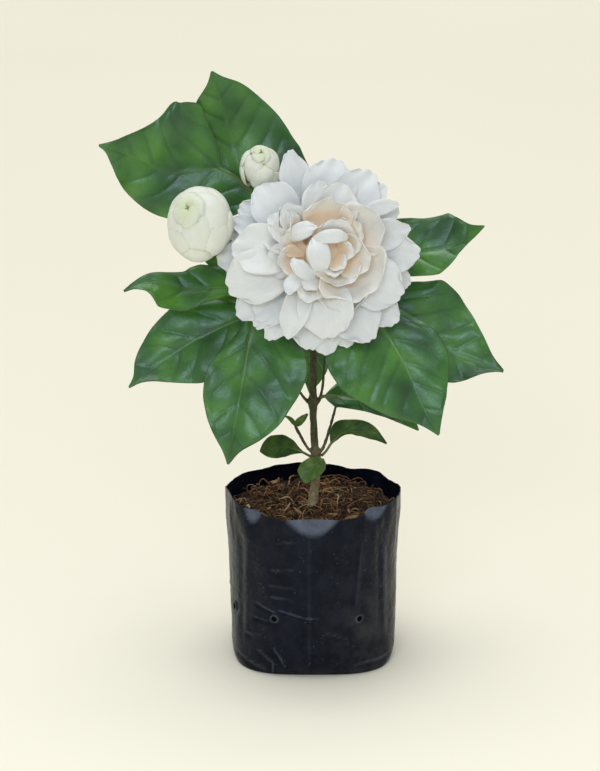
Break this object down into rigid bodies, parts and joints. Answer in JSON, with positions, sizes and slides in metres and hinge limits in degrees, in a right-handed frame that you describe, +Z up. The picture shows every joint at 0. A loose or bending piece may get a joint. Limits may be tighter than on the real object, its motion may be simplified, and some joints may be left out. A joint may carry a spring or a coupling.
{
  "type": "potted arabian jasmine",
  "caption": "Young jasmine shrub with broad glossy leaves, a double white bloom and round buds, growing in a soft black nursery grow bag that stands on its flat base.",
  "frame": {"origin": "centre of the grow bag's flat base, on the surface it stands on", "axes": "+Z up along the stem, -Y towards the face of the bloom, +X to the right as the bloom is seen"},
  "size_m": [0.1844, 0.081, 0.2777],
  "materials": {
    "film": "satin",
    "medium": "matte",
    "bark": "matte",
    "leaf_green": "satin",
    "young_green": "satin",
    "petal_white": "matte",
    "bud_white": "matte",
    "calyx_green": "satin"
  },
  "bodies": {
    "root": {"grow_bag": "film", "growing_medium": "medium", "main_stem": "bark", "leaf_top_left": "leaf_green", "leaf_top": "leaf_green", "leaf_right_upper": "leaf_green", "leaf_right": "leaf_green", "leaf_front_right": "leaf_green", "leaf_right_inner": "leaf_green", "leaf_front_left": "leaf_green", "leaf_left_lower": "leaf_green", "leaf_left": "leaf_green", "leaf_left_inner": "leaf_green", "leaf_hanging_back": "leaf_green", "leaf_small_left": "leaf_green", "leaf_small_right": "leaf_green", "leaf_small_front": "young_green", "leaf_tiny_pair": "young_green", "bloom_petals": "petal_white", "bloom_calyx": "calyx_green", "bud_large_petals": "bud_white", "bud_large_calyx": "calyx_green", "bud_small_petals": "bud_white", "bud_small_calyx": "calyx_green"}
  },
  "joints": []
}
